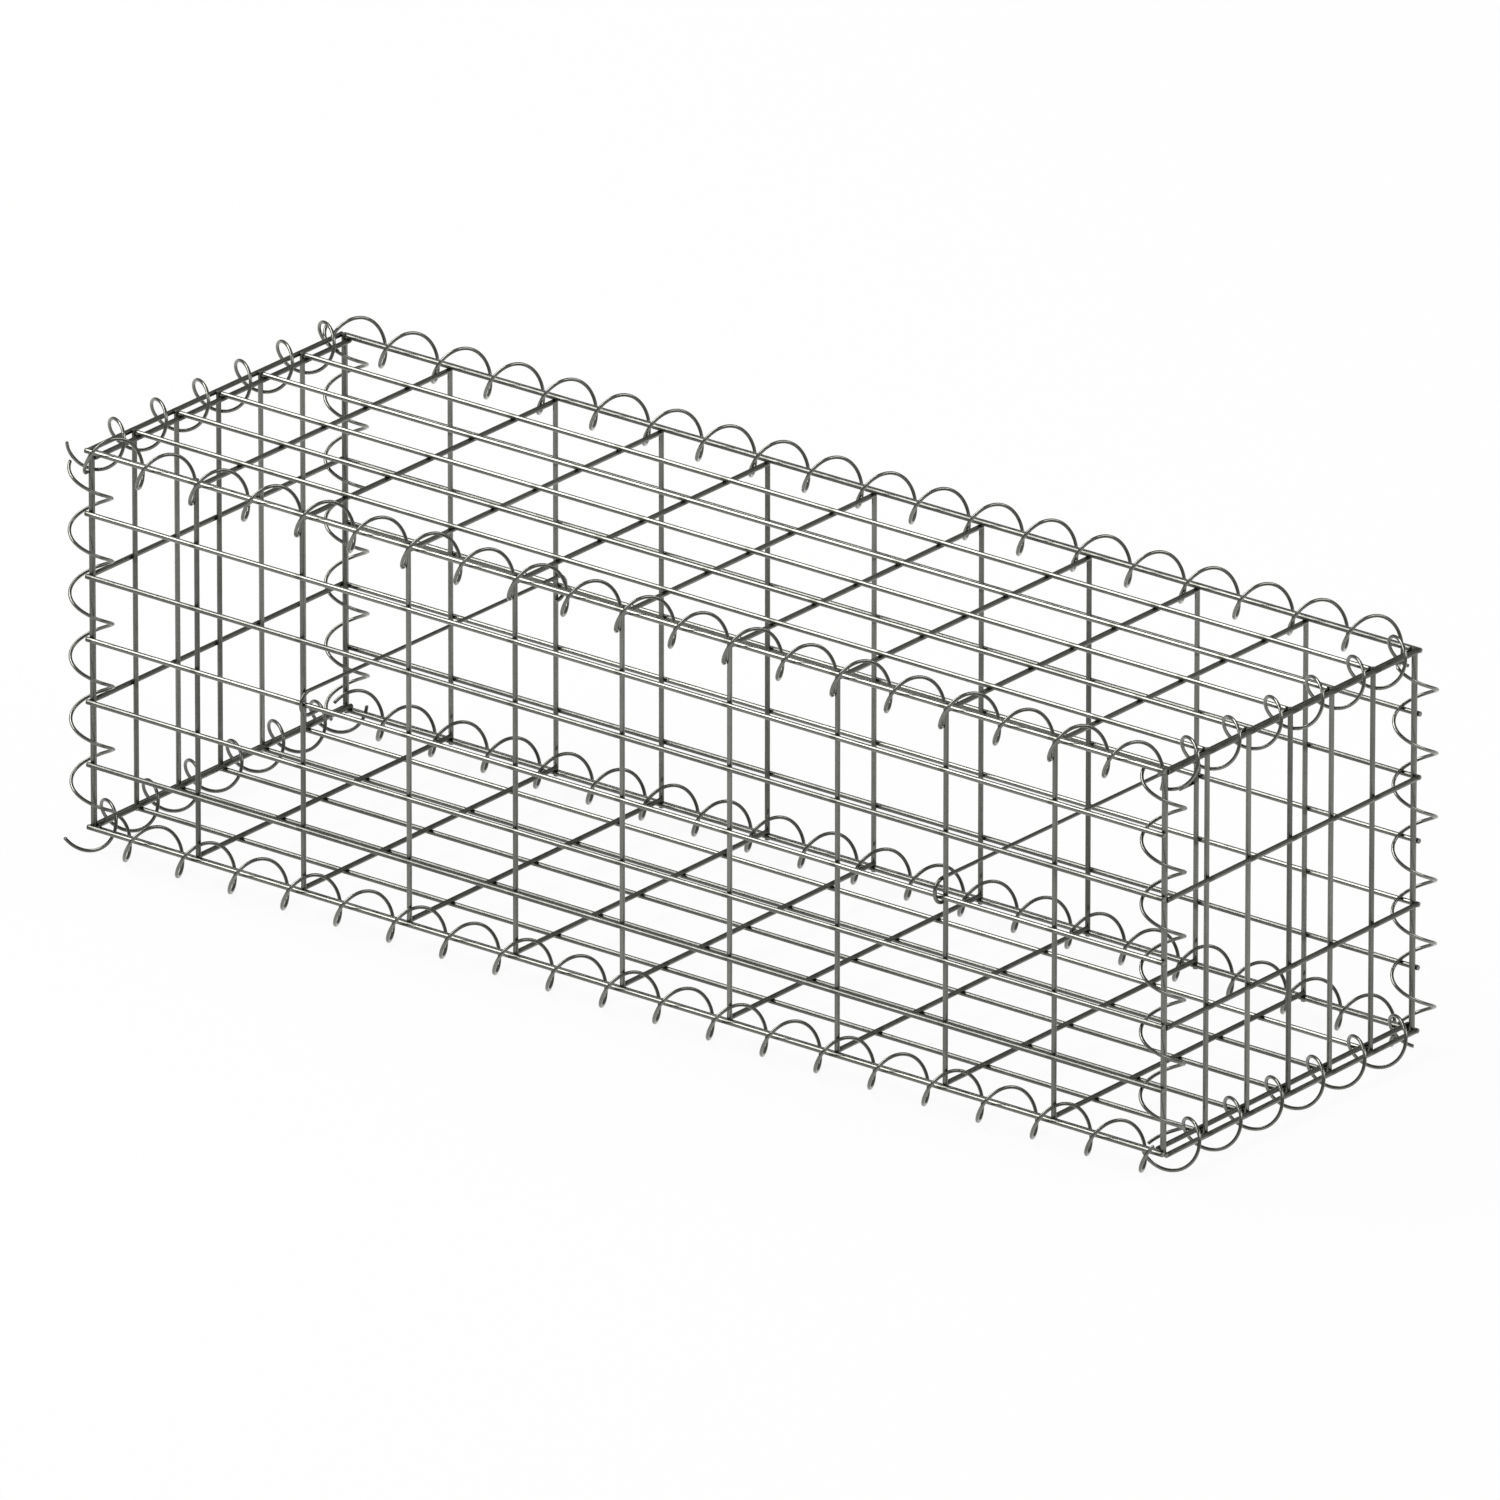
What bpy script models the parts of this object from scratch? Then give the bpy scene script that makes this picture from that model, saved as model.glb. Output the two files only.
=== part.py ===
"""Gabion basket of welded steel wire mesh, empty and closed, one metre long.

Six flat mesh panels stand edge to edge. A left-handed spiral binder is laced along each of the
twelve edges and takes in the edge wires of both panels there. Two hooked spacer wires run from the
front panel to the back one at mid height and stop them from bulging.

Units are metres and +Z is up. X runs along the length, Y from front to back. The nominal box of the
basket has its lower front left corner at the layout's origin, and an empty carries that layout so
that the part's own origin lies on the ground under the middle of the basket.
"""

import math
from dataclasses import dataclass

import bmesh
import bpy
import numpy as np
from mathutils import Matrix, Vector

# Overall size, between the edge lines that the binders run along
LENGTH = 1.000
WIDTH = 0.300
HEIGHT = 0.300

# Mesh: oblong cells, twice as long as they are high, with long wires that run on past the corners
CELL_LENGTH = 0.100
MESH_WIRE = 0.0040
WELD_DEPTH = 0.0007
LONG_WIRE_OVERHANG = 0.003

# Play of the loosely laced long panels: the front one has slipped this far to the right and lifted
# this far, and the back one as far to the left and down, so that the edge wires of a pair lie aslant
SIDE_SLIP = 0.0025
SIDE_LIFT = 0.0030

# Spiral binders. Those of the two short left edges run on in an open curl past the front panel
BINDER_WIRE = 0.0027
BINDER_RADIUS = 0.0158
BINDER_OVERRUN_LONG = 0.002
BINDER_OVERRUN_SHORT = 0.005
LEFT_TOP_CURL = 0.010
LEFT_BOTTOM_CURL = 0.0155

# Spacer wires, counted in cells from the nearer end
SPACER_WIRE = 0.0030
HOOK_RADIUS = 0.0095
SPACER_CELLS_IN = 2
LEFT_HOOK_LIFT = 0.0
LEFT_FRONT_TAIL = 0.012
LEFT_BACK_TAIL = 0.003
RIGHT_HOOK_LIFT = 0.0035
RIGHT_FRONT_TAIL = 0.005
RIGHT_BACK_TAIL = 0.014

# Clearance between pieces that touch on the real basket, and the least that a faceted coil keeps
CLEARANCE = 0.0003
LEAST_CLEARANCE = 0.0002

# Fineness of the faceted wires. A mesh wire's odd number of sides sets a ridge opposite a flat
MESH_WIRE_SIDES = 7
BINDER_POINTS_PER_TURN = 8
HOOK_STEP = math.radians(15)
ROUTE_SAMPLES_PER_CHORD = 16

MESH_RADIUS = MESH_WIRE / 2
BINDER_WIRE_RADIUS = BINDER_WIRE / 2
SPACER_RADIUS = SPACER_WIRE / 2
LAYER_STEP = MESH_WIRE - WELD_DEPTH
HALF_SEAM = MESH_RADIUS + CLEARANCE / 2
X_AXIS, Y_AXIS, Z_AXIS = range(3)


@dataclass(frozen=True)
class Rod:
    """One straight mesh wire, from end to end of its centre line."""

    start: tuple
    end: tuple


@dataclass(frozen=True)
class Layer:
    """Parallel wires of one panel: the axis they run along, their span and their places."""

    axis: int
    span: tuple
    across: int
    places: tuple
    level: float


@dataclass(frozen=True)
class Panel:
    """One welded panel: an outer layer of wires, an inner layer, and the axis it faces along."""

    name: str
    facing: int
    outer: Layer
    inner: Layer


@dataclass(frozen=True)
class Binder:
    """One spiral binder: its edge line, its pitch, and the panel and side of the wires it seats on."""

    name: str
    axis: int
    centre: tuple
    length: float
    pitch: float
    overruns: tuple
    seat_panel: str
    seat_side: int


def even_places(first, last, cells):
    """Places of the wires that divide a span into equal cells, both ends included."""
    return tuple(first + (last - first) * step / cells for step in range(cells + 1))


def moved(places, distance):
    """Places moved along by a distance."""
    return tuple(place + distance for place in places)


def layout_panels():
    """The six panels, with neighbours a clearance apart along every seam."""
    columns = even_places(0, LENGTH, round(LENGTH / CELL_LENGTH))
    fine_rows = even_places(0, HEIGHT, 2 * round(HEIGHT / CELL_LENGTH))
    coarse_rows = fine_rows[::2]
    depth_places = even_places(HALF_SEAM, WIDTH - HALF_SEAM, 2 * round(WIDTH / CELL_LENGTH))
    lid_inset = MESH_RADIUS + CLEARANCE
    lid_end = lid_inset + MESH_RADIUS
    lid_columns = (lid_end, *columns[1:-1], LENGTH - lid_end)

    full_height = (-MESH_RADIUS, HEIGHT + MESH_RADIUS)
    overhung_length = (-LONG_WIRE_OVERHANG, LENGTH + LONG_WIRE_OVERHANG)
    inset_length = (lid_inset, LENGTH - lid_inset)
    inset_width = (HALF_SEAM - MESH_RADIUS, WIDTH - HALF_SEAM + MESH_RADIUS)

    def side(name, edge, outward):
        slip, lift = -outward * SIDE_SLIP, -outward * SIDE_LIFT
        span, height = moved(overhung_length, slip), moved(full_height, lift)
        outer_level = edge + outward * (HALF_SEAM + LAYER_STEP)
        outer = Layer(X_AXIS, span, Z_AXIS, moved(fine_rows, lift), outer_level)
        inner = Layer(Z_AXIS, height, X_AXIS, moved(columns, slip), edge + outward * HALF_SEAM)
        return Panel(name, Y_AXIS, outer, inner)

    def end(name, edge, outward):
        outer = Layer(Y_AXIS, inset_width, Z_AXIS, coarse_rows, edge + outward * LAYER_STEP)
        inner = Layer(Z_AXIS, full_height, Y_AXIS, depth_places, edge)
        return Panel(name, X_AXIS, outer, inner)

    def flat(name, edge, outward):
        outer = Layer(X_AXIS, inset_length, Y_AXIS, depth_places, edge)
        inner = Layer(Y_AXIS, inset_width, X_AXIS, lid_columns, edge - outward * LAYER_STEP)
        return Panel(name, Z_AXIS, outer, inner)

    panels = (
        side("front_panel", 0, -1),
        side("back_panel", WIDTH, 1),
        end("left_end_panel", 0, -1),
        end("right_end_panel", LENGTH, 1),
        flat("base_panel", 0, -1),
        flat("lid_panel", HEIGHT, 1),
    )
    return {panel.name: panel for panel in panels}


def rods_of(panel, layer):
    """The straight wires of one layer of a panel."""
    rods = []
    for place in layer.places:
        ends = []
        for along in layer.span:
            point = [0.0, 0.0, 0.0]
            point[layer.axis] = along
            point[layer.across] = place
            point[panel.facing] = layer.level
            ends.append(tuple(point))
        rods.append(Rod(*ends))
    return rods


def gap_to_rod(points, rod):
    """Distance from each point to the surface of a straight wire with flat ends."""
    start = np.array(rod.start)
    run = np.array(rod.end) - start
    length = np.linalg.norm(run)
    direction = run / length
    along = (points - start) @ direction
    off_axis = np.linalg.norm(points - start - np.outer(along, direction), axis=1)
    past_end = np.maximum(np.abs(along - length / 2) - length / 2, 0)
    return np.hypot(past_end, np.maximum(off_axis - MESH_RADIUS, 0))


def layout_binders(panels):
    """The twelve binders in lacing order: short left edges, long edges, uprights, short right edges."""
    column_pitch = LENGTH / round(LENGTH / CELL_LENGTH)
    row_places = panels["front_panel"].outer.places
    depth_places = panels["lid_panel"].outer.places
    long_pitch = column_pitch / 2
    upright_pitch = row_places[1] - row_places[0]
    short_pitch = depth_places[1] - depth_places[0]

    both_long = (BINDER_OVERRUN_LONG, BINDER_OVERRUN_LONG)
    both_short = (BINDER_OVERRUN_SHORT, BINDER_OVERRUN_SHORT)
    curled_top = (LEFT_TOP_CURL, BINDER_OVERRUN_SHORT)
    curled_bottom = (LEFT_BOTTOM_CURL, BINDER_OVERRUN_SHORT)

    def along_length(name, y, z, panel, seat_side):
        return Binder(name, X_AXIS, (0, y, z), LENGTH, long_pitch, both_long, panel, seat_side)

    def upright(name, x, y, panel, seat_side):
        return Binder(name, Z_AXIS, (x, y, 0), HEIGHT, upright_pitch, both_short, panel, seat_side)

    def along_width(name, x, z, panel, seat_side, overruns=both_short):
        return Binder(name, Y_AXIS, (x, 0, z), WIDTH, short_pitch, overruns, panel, seat_side)

    return (
        along_width("binder_left_top", 0, HEIGHT, "left_end_panel", 1, curled_top),
        along_width("binder_left_bottom", 0, 0, "base_panel", 1, curled_bottom),
        along_length("binder_front_top", 0, HEIGHT, "front_panel", -1),
        along_length("binder_front_bottom", 0, 0, "front_panel", 1),
        along_length("binder_back_top", WIDTH, HEIGHT, "lid_panel", -1),
        along_length("binder_back_bottom", WIDTH, 0, "base_panel", -1),
        upright("binder_left_front", 0, 0, "left_end_panel", 1),
        upright("binder_right_front", LENGTH, 0, "front_panel", -1),
        upright("binder_left_back", 0, WIDTH, "left_end_panel", -1),
        upright("binder_right_back", LENGTH, WIDTH, "back_panel", 1),
        along_width("binder_right_top", LENGTH, HEIGHT, "right_end_panel", 1),
        along_width("binder_right_bottom", LENGTH, 0, "base_panel", -1),
    )


def coil_points(binder, phase, along):
    """Points of the left-handed coil at distances along its edge line."""
    angle = phase - 2 * math.pi * along / binder.pitch
    points = np.tile(np.array(binder.centre, float), (len(along), 1))
    points[:, binder.axis] += along
    points[:, (binder.axis + 1) % 3] += BINDER_RADIUS * np.cos(angle)
    points[:, (binder.axis + 2) % 3] += BINDER_RADIUS * np.sin(angle)
    return points


def faceted_coil(binder, phase, first, last):
    """The coil as straight chords from turn to turn: distances along the edge, corner points."""
    step = binder.pitch / BINDER_POINTS_PER_TURN
    along = np.arange(math.floor(first / step), math.ceil(last / step) + 1) * step
    return along, coil_points(binder, phase, along)


def points_on_chords(along, corners, places):
    """Points on the chords of a faceted coil, at the given distances along its edge."""
    return np.stack([np.interp(places, along, corners[:, axis]) for axis in range(3)], axis=1)


def crossing_rods(binder, panels):
    """The wires of the binder's seat panel that run square to the binder."""
    panel = panels[binder.seat_panel]
    layers = (panel.outer, panel.inner)
    return [rod for layer in layers if layer.axis != binder.axis for rod in rods_of(panel, layer)]


def middle_rod(binder, rods):
    """The crossing wire nearest to the middle of the binder's edge."""
    return min(rods, key=lambda rod: abs(rod.start[binder.axis] - binder.length / 2))


def crossing_angle(binder, rod):
    """Angle round the edge line at which a crossing wire passes through the coil's cylinder."""
    across = ((binder.axis + 1) % 3, (binder.axis + 2) % 3)
    centre = np.array([binder.centre[axis] for axis in across])
    ends = [np.array([end[axis] for axis in across]) - centre for end in (rod.start, rod.end)]
    near, far = sorted(ends, key=np.linalg.norm)
    direction = (far - near) / np.linalg.norm(far - near)
    foot = near - direction * (near @ direction)
    at_cylinder = foot + direction * math.sqrt(BINDER_RADIUS**2 - foot @ foot)
    return math.atan2(at_cylinder[1], at_cylinder[0])


def seat_phase(binder, rods):
    """The phase at which the coil just clears one side of the wires that it seats on."""
    rod = middle_rod(binder, rods)
    middle = rod.start[binder.axis]
    through_wire = crossing_angle(binder, rod) + 2 * math.pi * middle / binder.pitch
    first, last = middle - binder.pitch, middle + binder.pitch
    step = binder.pitch / BINDER_POINTS_PER_TURN / ROUTE_SAMPLES_PER_CHORD
    places = np.arange(first, last, step)
    touching, clear = 0.0, math.pi / 2
    while clear - touching > 1e-5:
        turned = (touching + clear) / 2
        phase = through_wire + binder.seat_side * turned
        along, corners = faceted_coil(binder, phase, first, last)
        gap = gap_to_rod(points_on_chords(along, corners, places), rod).min()
        if gap < BINDER_WIRE_RADIUS + CLEARANCE:
            touching = turned
        else:
            clear = turned
    return through_wire + binder.seat_side * clear


def gap_to_points(points, others):
    """Distance from each point to the nearest of the others, taken near the points only."""
    reach = 4 * BINDER_WIRE
    low, high = points.min(axis=0) - reach, points.max(axis=0) + reach
    near = others[((others > low) & (others < high)).all(axis=1)]
    gaps = np.full(len(points), reach)
    for index, point in enumerate(points if len(near) else ()):
        gaps[index] = min(reach, np.linalg.norm(near - point, axis=1).min())
    return gaps


def free_run(blocked):
    """First and last index of the unblocked stretch that holds the middle of a list of flags."""
    middle = len(blocked) // 2
    before = np.flatnonzero(blocked[:middle])
    after = np.flatnonzero(blocked[middle:])
    first = before[-1] + 1 if len(before) else 0
    last = middle + after[0] - 1 if len(after) else len(blocked) - 1
    return first, last


def lace_binder(binder, panels, all_rods, laced):
    """Corner points of a binder that seats on its panel and stops short of whatever blocks it."""
    phase = seat_phase(binder, crossing_rods(binder, panels))
    first, last = -binder.overruns[0], binder.length + binder.overruns[1]
    along, corners = faceted_coil(binder, phase, first, last)
    step = binder.pitch / BINDER_POINTS_PER_TURN / ROUTE_SAMPLES_PER_CHORD
    places = np.arange(first, last, step)
    points = points_on_chords(along, corners, places)
    room = np.min([gap_to_rod(points, rod) for rod in all_rods], axis=0) - BINDER_WIRE_RADIUS
    for other in laced:
        room = np.minimum(room, gap_to_points(points, other) - BINDER_WIRE)
    start, stop = free_run(room < LEAST_CLEARANCE)
    whole = along[(along > places[start]) & (along < places[stop])]
    route = points_on_chords(along, corners, np.array([places[start], *whole, places[stop]]))
    return route, points[start : stop + 1]


def new_collection(name, hidden=False):
    """A collection of the scene. Helpers in a hidden one leave the model out of them."""
    collection = bpy.data.collections.new(name)
    bpy.context.scene.collection.children.link(collection)
    collection.hide_render = hidden
    return collection


def wire_material(name, colour, roughness, metallic=1.0):
    """A zinc-coated wire, as a Principled BSDF in linear colour."""
    material = bpy.data.materials.new(name)
    material.use_nodes = True
    shader = material.node_tree.nodes["Principled BSDF"]
    shader.inputs["Base Color"].default_value = (*colour, 1.0)
    shader.inputs["Roughness"].default_value = roughness
    shader.inputs["Metallic"].default_value = metallic
    return material


def add_object(name, data, collection, carrier, material):
    """An object of the basket, carried by the empty that places the layout."""
    placed = bpy.data.objects.new(name, data)
    data.materials.append(material)
    collection.objects.link(placed)
    placed.parent = carrier
    return placed


def add_rod(mesh, rod, towards_weld):
    """Adds a faceted wire with a ridge on the side where other wires weld on, and a flat opposite."""
    start, end = Vector(rod.start), Vector(rod.end)
    direction = (end - start).normalized()
    sideways = towards_weld.cross(direction)
    frame = Matrix((sideways, towards_weld, direction)).transposed().to_4x4()
    frame.translation = (start + end) / 2
    bmesh.ops.create_cone(
        mesh,
        cap_ends=True,
        segments=MESH_WIRE_SIDES,
        radius1=MESH_RADIUS,
        radius2=MESH_RADIUS,
        depth=(end - start).length,
        matrix=frame,
    )


def layer_mesh(name, panel, layer, other_layer):
    """One mesh that holds all the parallel wires of a layer, ridged towards the panel's other layer."""
    towards_weld = Vector()
    towards_weld[panel.facing] = math.copysign(1, other_layer.level - layer.level)
    mesh = bmesh.new()
    for rod in rods_of(panel, layer):
        add_rod(mesh, rod, towards_weld)
    data = bpy.data.meshes.new(name)
    mesh.to_mesh(data)
    mesh.free()
    data.shade_smooth()
    data.set_sharp_from_angle(angle=math.radians(70))
    return data


def build_panel(panel, parts, helpers, carrier, material):
    """A welded panel: the outer wires with the inner ones joined to them at every crossing."""
    outer_mesh = layer_mesh(panel.name, panel, panel.outer, panel.inner)
    inner_mesh = layer_mesh(panel.name + "_inner_wires", panel, panel.inner, panel.outer)
    outer = add_object(panel.name, outer_mesh, parts, carrier, material)
    inner = add_object(panel.name + "_inner_wires", inner_mesh, helpers, carrier, material)
    inner.hide_render = True
    inner.display_type = "WIRE"
    weld = outer.modifiers.new("welds", "BOOLEAN")
    weld.operation = "UNION"
    weld.solver = "EXACT"
    weld.object = inner


def build_wire(name, points, diameter, sides_level, parts, carrier, material):
    """A bent wire: a straight-chorded curve with a round section and closed ends."""
    curve = bpy.data.curves.new(name, "CURVE")
    curve.dimensions = "3D"
    curve.bevel_depth = diameter / 2
    curve.bevel_resolution = sides_level
    curve.use_fill_caps = True
    spline = curve.splines.new("POLY")
    spline.points.add(len(points) - 1)
    for spline_point, point in zip(spline.points, points):
        spline_point.co = (*point, 1.0)
    add_object(name, curve, parts, carrier, material)


def build_binders(panels, parts, carrier, material):
    """All twelve binders, each one clear of the wires and of the binders laced before it."""
    all_rods = [
        rod
        for panel in panels.values()
        for layer in (panel.outer, panel.inner)
        for rod in rods_of(panel, layer)
    ]
    laced = []
    for binder in layout_binders(panels):
        route, points = lace_binder(binder, panels, all_rods, laced)
        laced.append(points)
        build_wire(binder.name, route, BINDER_WIRE, 0, parts, carrier, material)


def hook_arc(centre_y, centre_z, outward):
    """Half a turn of a hook in the Y-Z plane, from its top over the outer side to its bottom."""
    steps = round(math.pi / HOOK_STEP)
    angles = [math.pi / 2 - math.pi * step / steps for step in range(steps + 1)]
    return [
        (centre_y + outward * HOOK_RADIUS * math.cos(angle), centre_z + HOOK_RADIUS * math.sin(angle))
        for angle in angles
    ]


def hooked_end(x, row_y, row_z, lift, tail, outward):
    """A spacer's hook from the end of its tail to its top, drawn up against a row wire."""
    hook_room = HOOK_RADIUS - SPACER_RADIUS - CLEARANCE - MESH_RADIUS
    centre_y = row_y - outward * math.sqrt(hook_room**2 - lift**2)
    centre_z = row_z + lift
    outline = [
        (centre_y - outward * tail, centre_z - HOOK_RADIUS),
        *reversed(hook_arc(centre_y, centre_z, outward)),
    ]
    return [(x, y, z) for y, z in outline]


def build_spacers(panels, parts, carrier, material):
    """Two spacers beside an upright wire of the front panel, hooked round the rows at mid height."""
    beside = MESH_RADIUS + CLEARANCE + SPACER_RADIUS
    kinds = (
        ("spacer_left", SPACER_CELLS_IN, beside, LEFT_HOOK_LIFT, LEFT_FRONT_TAIL, LEFT_BACK_TAIL),
        ("spacer_right", -1 - SPACER_CELLS_IN, -beside, RIGHT_HOOK_LIFT, RIGHT_FRONT_TAIL, RIGHT_BACK_TAIL),
    )
    for name, column, offset, lift, front_tail, back_tail in kinds:
        ends = []
        for panel, tail, outward in (("front_panel", front_tail, -1), ("back_panel", back_tail, 1)):
            rows, uprights = panels[panel].outer, panels[panel].inner
            row_z = rows.places[len(rows.places) // 2]
            x = uprights.places[column] + offset
            ends.append(hooked_end(x, rows.level, row_z, lift, tail, outward))
        front, back = ends
        build_wire(name, [*front, *reversed(back)], SPACER_WIRE, 1, parts, carrier, material)


def main():
    """Clears the scene and builds the basket."""
    for old in list(bpy.data.objects):
        bpy.data.objects.remove(old)
    parts = new_collection("gabion_basket")
    helpers = new_collection("gabion_basket_helpers", hidden=True)

    carrier = bpy.data.objects.new("basket_layout", None)
    carrier.location = (-LENGTH / 2, -WIDTH / 2, BINDER_RADIUS + BINDER_WIRE_RADIUS)
    parts.objects.link(carrier)

    mesh_wire = wire_material("mesh_wire_zinc", (0.36, 0.36, 0.34), 0.38)
    binder_wire = wire_material("binder_wire_zinc", (0.33, 0.33, 0.31), 0.42)
    spacer_wire = wire_material("spacer_wire_zinc", (0.30, 0.30, 0.28), 0.45)

    panels = layout_panels()
    for panel in panels.values():
        build_panel(panel, parts, helpers, carrier, mesh_wire)
    build_binders(panels, parts, carrier, binder_wire)
    build_spacers(panels, parts, carrier, spacer_wire)


if __name__ == "__main__":
    main()
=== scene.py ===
"""Looks of an empty gabion basket: welded galvanised mesh, laced along its edges with spirals.

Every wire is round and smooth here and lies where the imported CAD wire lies. Lengths are in metres.
The basket's own origin is on the ground under its middle, X runs along its length, Y from front to
back and Z up.
"""

from __future__ import annotations

import logging
import math
import random
from collections.abc import Iterable
from dataclasses import dataclass, replace
from enum import Enum

import bmesh
import bpy
from mathutils import Matrix, Vector


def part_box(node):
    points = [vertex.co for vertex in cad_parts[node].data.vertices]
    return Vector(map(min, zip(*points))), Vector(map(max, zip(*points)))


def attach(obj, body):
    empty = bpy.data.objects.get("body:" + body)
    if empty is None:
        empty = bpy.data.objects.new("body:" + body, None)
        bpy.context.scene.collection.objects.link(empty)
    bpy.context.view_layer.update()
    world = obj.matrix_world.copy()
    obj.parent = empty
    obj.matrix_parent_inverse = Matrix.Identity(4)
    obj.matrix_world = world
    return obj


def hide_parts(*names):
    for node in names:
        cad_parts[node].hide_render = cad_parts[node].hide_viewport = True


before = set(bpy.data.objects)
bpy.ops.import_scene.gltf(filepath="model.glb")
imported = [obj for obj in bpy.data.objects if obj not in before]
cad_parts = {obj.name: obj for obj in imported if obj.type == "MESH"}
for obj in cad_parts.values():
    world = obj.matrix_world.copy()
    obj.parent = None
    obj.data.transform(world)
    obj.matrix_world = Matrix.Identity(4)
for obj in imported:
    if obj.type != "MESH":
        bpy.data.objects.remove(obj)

LOG = logging.getLogger("gabion_basket")

BODY = "root"

# Overall size between the edge lines, the lower ones' height above the ground, and the gap between
# pieces that touch on the real basket
LENGTH = 1.000
WIDTH = 0.300
HEIGHT = 0.300
EDGE_LIFT = 0.01715
CLEARANCE = 0.0003

# How far the loosely laced front panel has slipped to the right and lifted, and the back one the
# other way
SIDE_SLIP = 0.0025
SIDE_LIFT = 0.0030

# Wire diameters, and how far crossing wires sink into each other at a spot weld
MESH_WIRE = 0.0040
BINDER_WIRE = 0.0027
SPACER_WIRE = 0.0030
WELD_DEPTH = 0.0007

# The way from the middle of one layer of a panel to the other's, and half the way between the
# middles of two edge wires that are laced together
MESH_RADIUS = MESH_WIRE / 2
LAYER_STEP = MESH_WIRE - WELD_DEPTH
HALF_SEAM = MESH_RADIUS + CLEARANCE / 2

# The rolled rim of a sheared wire end
RIM_ROLL = 0.0003
RIM_STEPS = 2
ROUND_PROFILE = 0.5

# Radians that a diagonal wave texture passes through in a unit of length, at a scale of one
DIAGONAL_WAVE = 10 * math.sqrt(3)

# Edges that turn more than this stay crisp, on straight wires and on coils
STRAIGHT_CRISP = math.radians(38)
COIL_CRISP = math.radians(40)

# The wires' UV map, and what each vertex of a wire keeps
WIRE_UV = "wire_run"
AROUND = "around"
ALONG = "along"
TONE = "wire_tone"
WELD_SPACING = "weld_spacing"

# A wire with a smaller weld spacing has no welds
LEAST_WELD_SPACING = 0.001

# Places in a piece's list of materials, after the zinc
CUT_FACE_PLACE = 1
FLASH_PLACE = 2

# Sockets of a colour mix node, whose names its other kinds share
MIX_SHARE, MIX_FIRST, MIX_SECOND, MIX_COLOUR = 0, 6, 7, 2


class Axis(Enum):
    """A direction of the basket: along its length, from front to back, or up."""

    X = 0
    Y = 1
    Z = 2

    @property
    def unit(self) -> Vector:
        """The unit vector of this axis."""
        return Vector([float(index == self.value) for index in range(3)])

    @property
    def next(self) -> Axis:
        """The axis that follows in the order X, Y, Z, X."""
        return Axis((self.value + 1) % 3)


class Slot(Enum):
    """The record's material slots."""

    MESH_WIRE = "mesh_wire"
    BINDER_WIRE = "binder_wire"
    SPACER_WIRE = "spacer_wire"


def linear(code: str) -> tuple[float, float, float, float]:
    """Turns an sRGB hex colour into linear RGBA.

    Args:
        code: Six hex digits, with or without a leading hash.

    Returns:
        Linear red, green, blue and an alpha of one.
    """
    digits = code.lstrip("#")
    channels = [int(digits[at : at + 2], 16) / 255 for at in (0, 2, 4)]
    bent = [c / 12.92 if c <= 0.04045 else ((c + 0.055) / 1.055) ** 2.4 for c in channels]
    return (*bent, 1.0)


def add_node(
    tree: bpy.types.NodeTree, kind: str, inputs: dict | None = None, **settings
) -> bpy.types.Node:
    """Adds one shader node.

    Args:
        tree: The node tree that takes the node.
        kind: The node's type name.
        inputs: Values or output sockets by input name or number.
        settings: The node's own properties.

    Returns:
        The new node.
    """
    node = tree.nodes.new(kind)
    for name, value in settings.items():
        setattr(node, name, value)
    for socket, value in (inputs or {}).items():
        if isinstance(value, bpy.types.NodeSocket):
            tree.links.new(value, node.inputs[socket])
        else:
            node.inputs[socket].default_value = value
    return node


def new_metal(name: str) -> tuple[bpy.types.Material, bpy.types.Node]:
    """Starts the material of a bare metal.

    Args:
        name: The material's name.

    Returns:
        The material and its shader node.
    """
    material = bpy.data.materials.new(name)
    material.use_nodes = True
    shader = material.node_tree.nodes["Principled BSDF"]
    shader.inputs["Metallic"].default_value = 1.0
    return material, shader


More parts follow.
